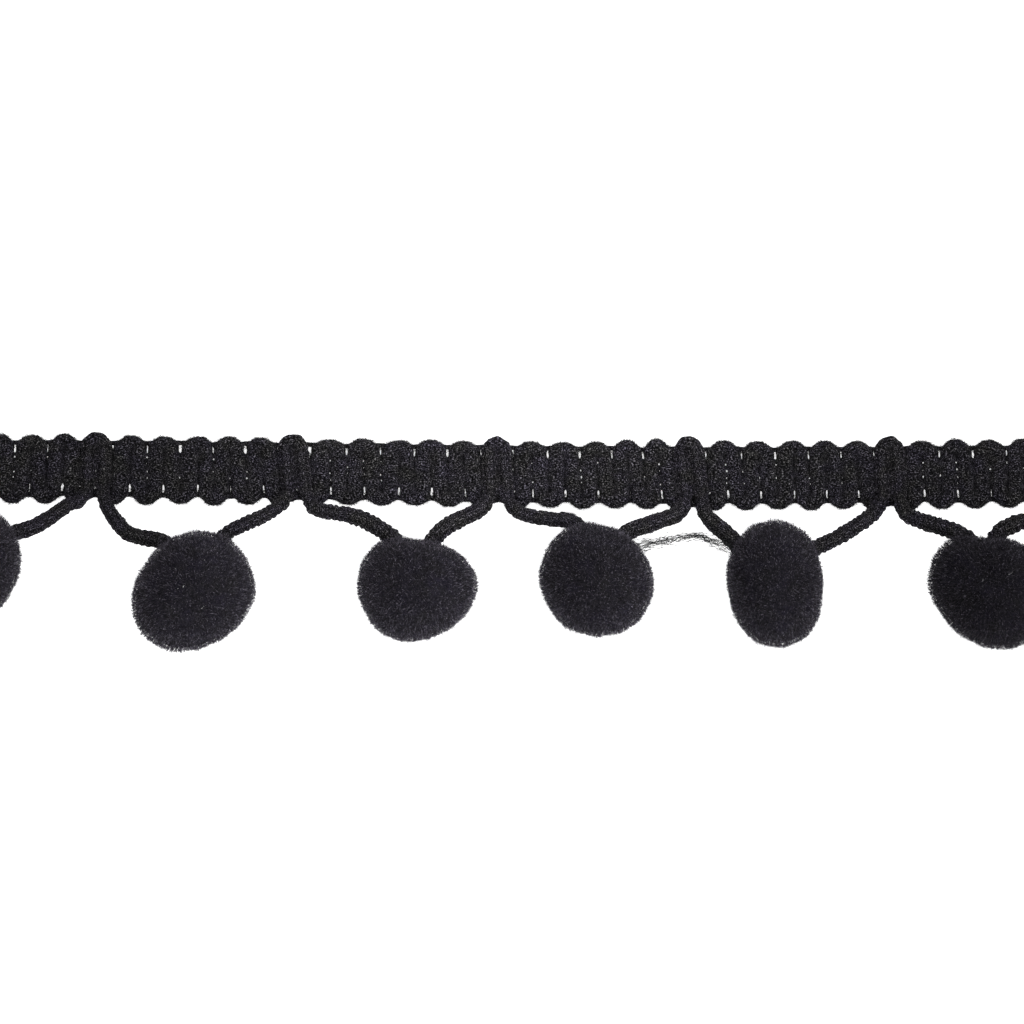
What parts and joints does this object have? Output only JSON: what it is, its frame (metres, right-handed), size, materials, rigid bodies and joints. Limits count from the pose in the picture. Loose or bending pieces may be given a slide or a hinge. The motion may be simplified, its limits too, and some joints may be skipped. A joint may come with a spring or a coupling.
{
  "type": "pompom fringe trim",
  "caption": "Cut length of woven ribbed braid with lobed edges, from which round cut-pile balls hang on a looped cord; it lies flat, face up.",
  "frame": {"origin": "middle of the heading's flat back, in line with the middle of its cut length", "axes": "+X runs along the trim, -Y points from the heading to the pompoms, +Z points out of the face of the trim, up from the surface it lies on"},
  "size_m": [0.196, 0.0333, 0.0174],
  "materials": {
    "heading_yarn": "matt black textured weft yarn, woven",
    "cord_yarn": "matt black knitted cord",
    "pompom_pile": "dense black cut pile"
  },
  "bodies": {
    "root": {"heading": "heading_yarn", "pompom_cord_1": "cord_yarn", "pompom_cord_2": "cord_yarn", "pompom_cord_3": "cord_yarn", "pompom_cord_4": "cord_yarn", "pompom_cord_5": "cord_yarn", "pompom_cord_6": "cord_yarn", "pompom_cord_7": "cord_yarn", "pompom_1": "pompom_pile", "pompom_2": "pompom_pile", "pompom_3": "pompom_pile", "pompom_4": "pompom_pile", "pompom_5": "pompom_pile", "pompom_6": "pompom_pile"}
  },
  "joints": []
}
